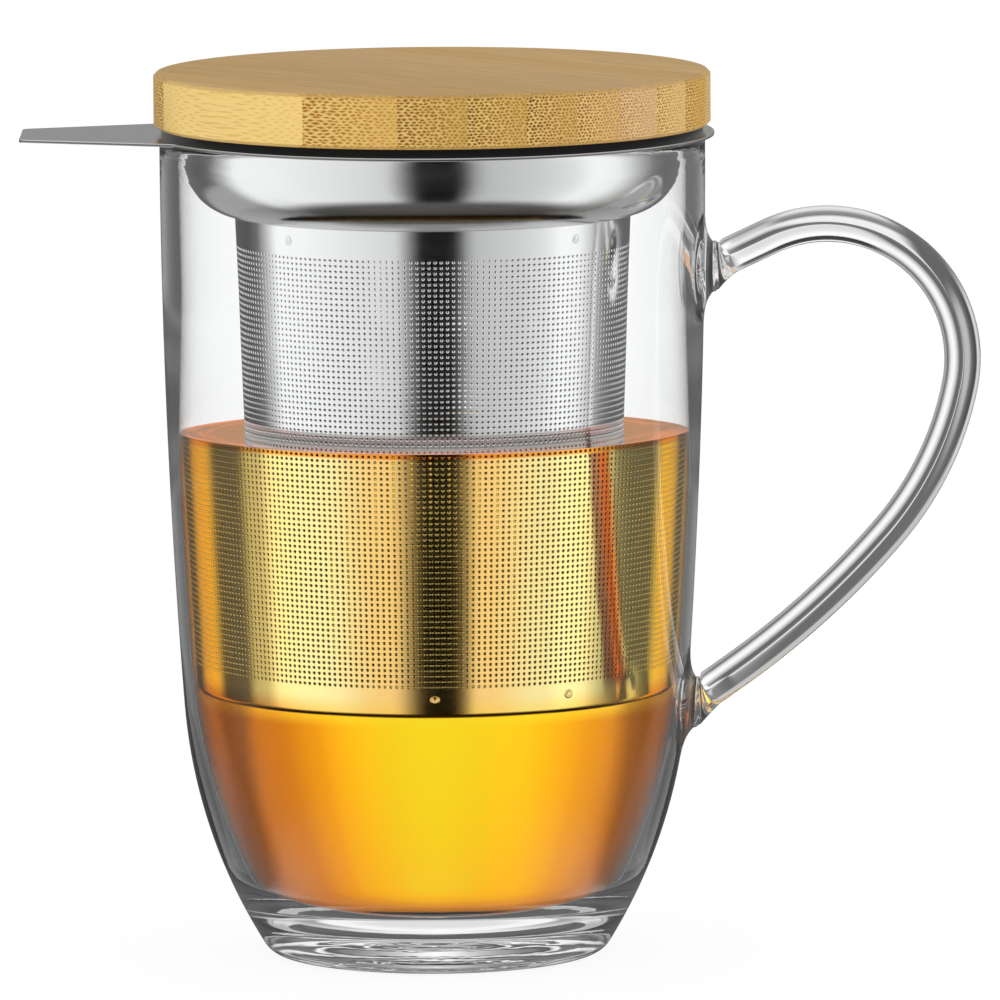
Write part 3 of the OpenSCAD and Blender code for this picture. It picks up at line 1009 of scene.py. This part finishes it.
def floor():
    """A wide pale floor that takes the mug's shadow. Glass and metal show the set in its place."""
    obj = added("floor", bpy.ops.mesh.primitive_circle_add, vertices=96, radius=9, fill_type="NGON")
    material = new_material(
        "Pale floor", Base_Color=(0.16, 0.16, 0.16, 1), Roughness=0.9, Specular_IOR_Level=0.0,
        Emission_Color=(1, 1, 1, 1), Emission_Strength=0.9,
    )[0]
    obj.data.materials.append(material)
    obj.visible_glossy = obj.visible_transmission = False


VIEW_FROM = (0.0106, -2.15, 0.335)
VIEW_AT = (0.0106, 0, 0.0737)
VIEW_ROLL = -0.006
LENS = 480.9


def look_from():
    """The camera, turned a little about its own axis."""
    data = bpy.data.cameras.new("View")
    data.lens = LENS
    data.sensor_width = 36
    data.clip_end = 100
    obj = bpy.data.objects.new("View", data)
    bpy.context.scene.collection.objects.link(obj)
    facing = (Vector(VIEW_AT) - Vector(VIEW_FROM)).to_track_quat("-Z", "Y").to_matrix().to_4x4()
    obj.matrix_world = Matrix.Translation(VIEW_FROM) @ facing @ Matrix.Rotation(VIEW_ROLL, 4, "Z")
    bpy.context.scene.camera = obj


def turned_lines():
    """Fine lines that a lathe or a brush leaves around the axis."""
    tree, given, result = new_group(
        "Turned lines", [("Place", "vector"), ("Fineness", "float")], [("Lines", "float"), ("Smudge", "float")]
    )
    x, y, z = parts_of(given["Place"])
    away = calc("SQRT", calc("ADD", calc("POWER", x, 2.0), calc("POWER", y, 2.0)))
    fineness = given["Fineness"]
    turn = product(calc("ARCTAN2", y, x), 1.6)
    around = vector_of(product(away, fineness), turn, product(z, fineness))
    feed(result["Lines"], noise(around, 1.0, 4.0, 0.65))
    feed(result["Smudge"], noise(given["Place"], 45.0, 3.0, 0.6))
    return tree


def steel(name, tone, roughness, fineness, depth):
    """Bright stainless steel with fine turned lines and faint smudges."""
    material, tree, shader = new_material(name, Metallic=1.0)
    place = object_place(tree)
    marks = use_group(LINES, {"Place": place, "Fineness": fineness})
    dark, light = (tone * 0.97, tone * 0.97, tone * 0.975, 1), (tone, tone, tone, 1)
    feed(shader["Base Color"], mix_colours(marks["Lines"], dark, light))
    rough = times_plus(marks["Lines"], 0.05, roughness - 0.025)
    rough = times_plus(eased(marks["Smudge"], 0.45, 0.75), 0.03, rough)
    feed(shader["Roughness"], rough)
    feed(shader["Normal"], bump(marks["Lines"], depth))
    return material


# Painted glow of the glass at its foot and round its welds
PAINTED_FOOT_GLOW = 0.018
PAINTED_WELD_GLOW = 0.05


def clear_glass():
    """Clear borosilicate glass. Blowing and turning left faint streaks, more of them at the rim and the foot."""
    material, tree, shader = new_material(
        "clear_glass", Base_Color=(0.99, 0.995, 0.995, 1), Roughness=0.0, IOR=1.47, Transmission_Weight=1.0,
        Specular_Tint=(0.12, 0.12, 0.12, 1), Emission_Strength=1.0,
    )
    place = object_place(tree)
    streaks = noise(scaled(place, (1.0, 1.0, 0.35)), 55.0, 2.0, 0.4)
    worked = noise(scaled(place, (1.0, 1.0, 6.0)), 70.0, 3.0, 0.5)
    height = parts_of(place)["Z"]
    at_rim, at_foot = eased(height, 124 * MM, 131 * MM), eased(height, 5 * MM, 14 * MM, 0.3, 0.0)
    worked = product(worked, calc("MAXIMUM", at_rim, at_foot))
    relief = calc("ADD", product(streaks, 0.25), worked)
    feed(shader["Normal"], bump(relief, 0.07 * MM))
    # Painted glow: the glass glows faintly at its foot and round the welds
    glow = eased(height, 9 * MM, 14 * MM, PAINTED_FOOT_GLOW, 0.0)
    for (x, z), _ in (handle_start(), handle_end()):
        weld = {0: place, 1: (x * MM, 0, z * MM)}
        away = put("ShaderNodeVectorMath", weld, operation="DISTANCE").outputs["Value"]
        glow = calc("MAXIMUM", glow, eased(away, 5 * MM, 8 * MM, PAINTED_WELD_GLOW, 0.0))
    feed(shader["Emission Color"], colour_of(glow, glow, glow))
    material.cycles.emission_sampling = "NONE"
    return material


# How the tea's colour deepens from where it is looked straight into to its edges, a painted shade at the edges:
# the strong tea that has sunk to the bottom of the mug, and the weaker tea round the basket
STRONG_TEA_AND_EDGE_SHADE = (
    (0, (1, 0.97, 0.4)), (0.02, (1, 0.86, 0.3)), (0.06, (1, 0.62, 0.15)),
    (0.14, (0.72, 0.28, 0.06)), (0.23, (0.48, 0.16, 0.035)), (0.434, (0.46, 0.15, 0.03)),
    (0.7, (0.6, 0.17, 0.03)), (1, (0.8, 0.24, 0.06)),
)
WEAK_TEA_AND_EDGE_SHADE = (
    (0, (1, 0.94, 0.85)), (0.02, (1, 0.945, 0.88)), (0.07, (1, 0.97, 0.97)),
    (0.15, (1, 0.95, 0.9)), (0.3, (1, 0.8, 0.55)), (0.5, (0.98, 0.6, 0.2)),
    (0.75, (0.95, 0.5, 0.12)), (0.86, (1, 0.34, 0.12)), (1, (1, 0.34, 0.14)),
)
# Painted shade of the line where the tea meets the glass
TEA_EDGE_SHADE = (0.8, 0.2, 0.02, 1)
# The thread of strong tea that sinks beside the basket, across its width
THREAD = (
    (0, (1, 1, 1)), (0.08, (0.38, 0.25, 0.25)), (0.18, (0.16, 0.05, 0.07)),
    (0.36, (0.28, 0.07, 0.07)), (0.5, (0.72, 0.07, 0.02)), (0.62, (1, 0.06, 0.005)),
    (0.76, (1, 0.18, 0.05)), (0.9, (0.64, 0.5, 0.42)), (1, (1, 1, 1)),
)
THREAD_X = 29.3
THREAD_W = 4.4
THREAD_LEAN = 0.064
# Painted glow of the red strokes on the tea's surface
PAINTED_TEA_GLOW = (0.42, 0.06, 0.004, 1)


def brewed_tea():
    """Amber tea. Its colour comes from how deep the light goes through it, and a painted shade deepens it
    towards its edges.
    """
    material, tree, shader = new_material(
        "brewed_tea", Roughness=0.0, IOR=1.333, Transmission_Weight=1.0, Specular_Tint=(0.06, 0.05, 0.04, 1),
        Emission_Strength=1.0,
    )
    grazing = from_node(tree, "ShaderNodeLayerWeight")["Facing"]
    normal_z = parts_of(from_node(tree, "ShaderNodeNewGeometry")["Normal"])["Z"]
    place = object_place(tree)
    x, y, height = parts_of(place)
    # Only the turn to the left or right counts, not the slope of the mug's sides
    flat = product(normal_z, normal_z)
    sideways = calc("SQRT", calc("SUBTRACT", 1.0, flat, use_clamp=True))
    slope = times_plus(normal_z, 0.12, product(sideways, 0.993))
    straight = calc("DIVIDE", rest(grazing), calc("MAXIMUM", slope, 0.05))
    facing = calc("SUBTRACT", 1.0, straight, use_clamp=True)
    # Painted light: the tea is paler on the handle's side
    facing = product(facing, eased(x, 2 * MM, 14 * MM, 1.0, 0.6))
    risen = eased(height, (BASKET_BOTTOM_Z - 2) * MM, (BASKET_BOTTOM_Z + 1) * MM)
    strong, weak = (colour_ramp(facing, stops) for stops in (STRONG_TEA_AND_EDGE_SHADE, WEAK_TEA_AND_EDGE_SHADE))
    tint = mix_colours(risen, strong, weak)
    # The thread is in front, and the steel doesn't mirror it
    wander = times_plus(noise(place, 130.0, 2.0), 1.2 * MM, (-THREAD_X - 0.6) * MM)
    across = calc("ADD", times_plus(height, THREAD_LEAN, x), wander)
    thread = colour_ramp(calc("DIVIDE", across, THREAD_W * MM, use_clamp=True), THREAD)
    in_front = eased(y, -20 * MM, -12 * MM, 1, 0)
    strength = product(in_front, eased(height, 44 * MM, 49 * MM))
    mirrored = calc("MINIMUM", from_node(tree, "ShaderNodeLightPath")["Glossy Depth"], 1.0)
    strength = product(strength, rest(mirrored))
    tint = scaled(tint, mix_colours(strength, (1, 1, 1, 1), thread))
    # Painted shade: a darker line all round where the tea meets the glass; and a painted glow: red strokes on
    # its surface beside it
    upright = rest(calc("ABSOLUTE", normal_z))
    edge = product(upright, eased(height, (TEA_Z - 1.0) * MM, (TEA_Z - 0.5) * MM))
    feed(shader["Base Color"], mix_colours(edge, tint, TEA_EDGE_SHADE))
    lines = use_group(LINES, {"Place": place, "Fineness": 420.0})["Lines"]
    level = {0: scaled(place, (1.0, 1, 0))}
    away = put("ShaderNodeVectorMath", level, operation="LENGTH").outputs["Value"]
    painted_glow_strokes = product(
        eased(lines, 0.4, 0.62),
        eased(away, 32 * MM, 40 * MM, 0.1, 1.0),
        eased(height, (TEA_Z - 0.6) * MM, (TEA_Z - 0.1) * MM),
        eased(normal_z, 0.5, 0.9),
        eased(grazing, 0.8, 0.87),
    )
    feed(shader["Emission Color"], mix_colours(painted_glow_strokes, (0, 0, 0, 1), PAINTED_TEA_GLOW))
    material.cycles.emission_sampling = "NONE"
    feed(shader["Normal"], bump(noise(place, 30.0, 2.0, 0.5), 0.01 * MM))
    inside = tree.nodes.new("ShaderNodeVolumeAbsorption")
    inside.inputs["Color"].default_value = (0.997, 0.94, 0.36, 1)
    inside.inputs["Density"].default_value = 62.0
    output = next(n for n in tree.nodes if n.type == "OUTPUT_MATERIAL")
    feed(output.inputs["Volume"], inside.outputs[0])
    return material


def silicone():
    """Black silicone with a soft gloss."""
    material, tree, shader = new_material("black_silicone", Specular_IOR_Level=0.4)
    place = object_place(tree)
    cloudy = noise(place, 120.0, 3.0, 0.6)
    black, grey = (0.004, 0.004, 0.004, 1), (0.008, 0.008, 0.008, 1)
    feed(shader["Base Color"], mix_colours(cloudy, black, grey))
    feed(shader["Roughness"], times_plus(cloudy, 0.12, 0.24))
    feed(shader["Normal"], bump(noise(place, 2500.0, 2.0), 0.01 * MM))
    return material


def bamboo_fibres():
    """Laminated bamboo: bundles of dark fibre that run along a strip, close together on its outer side."""
    tree, given, result = new_group(
        "Bamboo fibres",
        [("Place", "vector"), ("Strip start", "float"), ("Seed", "float"), ("Tissue", "colour"),
         ("Warm tissue", "colour"), ("Fibre", "colour"), ("Fibre strength", "float")],
        [("Colour", "colour"), ("Roughness", "float"), ("Height", "float")],
    )
    seed = given["Seed"]
    turning = {"Vector": given["Place"], "Angle": math.radians(-STRIP_TURN)}
    turned = put("ShaderNodeVectorRotate", turning, rotation_type="Z_AXIS").outputs[0]
    across, along, up = parts_of(scaled(turned, (1 / MM, 1 / MM, 1 / MM)))
    # 0 on the strip's outer side, where the bundles are close, to 1 on its inner side
    depth = calc("DIVIDE", calc("SUBTRACT", across, given["Strip start"]), STRIP_W, use_clamp=True)
    # The bundles wander a little as they run
    drift_at = vector_of(product(across, 0.35), product(along, 0.16), times_plus(up, 0.35, seed))
    drift = noise(drift_at, 1.0, 2.0)
    drift_up = noise(scaled(drift_at, (1.3, 1.0, 1.3)), 1.7, 2.0)
    # They stand in staggered rows
    row_at = times_plus(drift_up, 1.3, calc("DIVIDE", up, BUNDLE_ROW))
    row = calc("FLOOR", row_at)
    column_at = times_plus(drift, 1.5, calc("DIVIDE", across, BUNDLE_PITCH))
    column_at = times_plus(row, 0.5, column_at)
    column = calc("FLOOR", column_at)
    own = put("ShaderNodeTexWhiteNoise", {"Vector": vector_of(column, row, seed)}).outputs["Color"]
    own = put("ShaderNodeSeparateColor", {"Color": own}).outputs
    in_column = calc("SUBTRACT", calc("SUBTRACT", column_at, column), 0.68)
    in_row = calc("SUBTRACT", calc("SUBTRACT", row_at, row), 0.65)
    offset_x = times_plus(own[0], 0.36, in_column)
    offset_z = times_plus(own[1], 0.3, in_row)
    reach = calc("ADD", calc("ABSOLUTE", offset_x), calc("ABSOLUTE", offset_z))
    size = times_plus(calc("POWER", depth, 0.8), -0.16, 0.43)
    size = times_plus(own[2], 0.12, size)
    dot = eased(calc("SUBTRACT", size, reach), -0.1, 0.16)
    sheath = product(eased(reach, 0.42, 0.72), times_plus(depth, -0.4, 0.75))
    # On the flat faces the bundles lie along the surface and show as faint streaks
    flat = calc("ABSOLUTE", parts_of(from_node(tree, "ShaderNodeNewGeometry")["Normal"])["Z"])
    dot = product(dot, times_plus(flat, -0.88, 1.0), times_plus(depth, -0.5, 1.0), given["Fibre strength"])
    sheath = product(sheath, rest(flat))
    grain_at = vector_of(product(across, 1.9), times_plus(along, 0.05, seed), product(up, 1.9))
    grain = noise(grain_at, 1.0, 5.0, 0.62)
    warmth = times_plus(grain, 1.3, -0.45)
    warmth = times_plus(depth, 0.35, warmth, use_clamp=True)
    colour = mix_colours(warmth, given["Tissue"], given["Warm tissue"])
    face = mix_colours(eased(grain, 0.3, 0.72), TOP_TISSUE, TOP_STREAK)
    colour = mix_colours(product(flat, 0.8), colour, face)
    colour = mix_colours(sheath, colour, SHEATH)
    colour = mix_colours(dot, colour, given["Fibre"])
    feed(result["Colour"], colour)
    feed(result["Roughness"], times_plus(grain, 0.18, 0.4))
    feed(result["Height"], times_plus(dot, -0.6, grain))
    return tree


# Each strip's tissue, warmer tissue and fibre, and how strongly its fibres show
STRIP_TONES = (
    ((0.98, 0.73, 0.28), (0.97, 0.63, 0.16), (0.60, 0.30, 0.04), 0.55),
    ((0.79, 0.48, 0.12), (0.69, 0.38, 0.07), (0.42, 0.15, 0.012), 0.95),
    ((0.58, 0.33, 0.06), (0.51, 0.28, 0.04), (0.28, 0.10, 0.01), 0.9),
    ((0.60, 0.35, 0.065), (0.52, 0.29, 0.042), (0.24, 0.085, 0.008), 0.95),
    ((0.63, 0.36, 0.08), (0.54, 0.29, 0.055), (0.22, 0.075, 0.008), 1.0),
    ((0.70, 0.41, 0.13), (0.64, 0.36, 0.12), (0.30, 0.11, 0.025), 0.95),
    ((0.74, 0.47, 0.22), (0.70, 0.42, 0.21), (0.37, 0.16, 0.06), 0.85),
    ((0.82, 0.54, 0.20), (0.79, 0.49, 0.16), (0.40, 0.18, 0.04), 1.0),
    ((0.75, 0.40, 0.05), (0.69, 0.35, 0.04), (0.30, 0.11, 0.008), 1.0),
    ((0.87, 0.59, 0.22), (0.80, 0.50, 0.16), (0.42, 0.18, 0.03), 0.85),
    ((0.76, 0.48, 0.14), (0.68, 0.41, 0.10), (0.36, 0.15, 0.015), 0.9),
)


def bamboo(number, slot, tissue, warm, fibre, strength):
    """The wood of one glued strip."""
    material, tree, shader = new_material(f"{slot}_{number:02d}", Specular_IOR_Level=0.35)
    start = FIRST_GLUE_LINE + (number - 2) * STRIP_W
    wood = use_group(
        FIBRES,
        {"Place": object_place(tree), "Strip start": start, "Seed": number * 3.7, "Tissue": (*tissue, 1),
         "Warm tissue": (*warm, 1), "Fibre": (*fibre, 1), "Fibre strength": strength},
    )
    feed(shader["Base Color"], wood["Colour"])
    feed(shader["Roughness"], wood["Roughness"])
    feed(shader["Normal"], bump(wood["Height"], 0.05 * MM, 0.6))
    return material


LINES = turned_lines()
FIBRES = bamboo_fibres()

# ---- the scene

look_from()
light_world()
floor()

GLASS = clear_glass()
finish_piece(glass(), "mug", GLASS, "clear_glass", "glass_cup", "glass_handle")
finish_piece(tea(), "mug", brewed_tea(), None)

PRESSED = steel("pressed_steel", 0.84, 0.13, 2600.0, 0.002 * MM)
ETCHED = steel("etched_steel", 0.86, 0.12, 1800.0, 0.0006 * MM)
finish_piece(collar(), "infuser", PRESSED, "pressed_steel", "infuser_collar")
panel = basket_panel()
finish_piece(panel, "infuser", ETCHED, "etched_steel", "basket_wall")
for eighth in range(1, PANELS):
    copy = turned_copy(panel, f"basket_panel_{eighth + 1}", eighth * 360 / PANELS)
    finish_piece(copy, "infuser", ETCHED, "etched_steel", "basket_wall")
finish_piece(basket_floor(), "infuser", ETCHED, "etched_steel", "basket_bottom_cup")
finish_piece(spot_welds("neck_welds", NECK_WELDS), "infuser", PRESSED, "pressed_steel", "neck_spot_welds")
finish_piece(spot_welds("cup_welds", CUP_WELDS), "infuser", PRESSED, "pressed_steel", "cup_spot_welds")

SILICONE = silicone()
slots = {part["node"]: part["material_slot"] for part in frame["record"]["subparts"]}
frame["nodes"]["lid_seal"].material_slots[0].material = SILICONE
for number, tones in enumerate(STRIP_TONES, 1):
    node = f"lid_strip_{number:02d}"
    frame["nodes"][node].material_slots[0].material = bamboo(number, slots[node], *tones)

bpy.context.scene.view_settings.view_transform = "Standard"
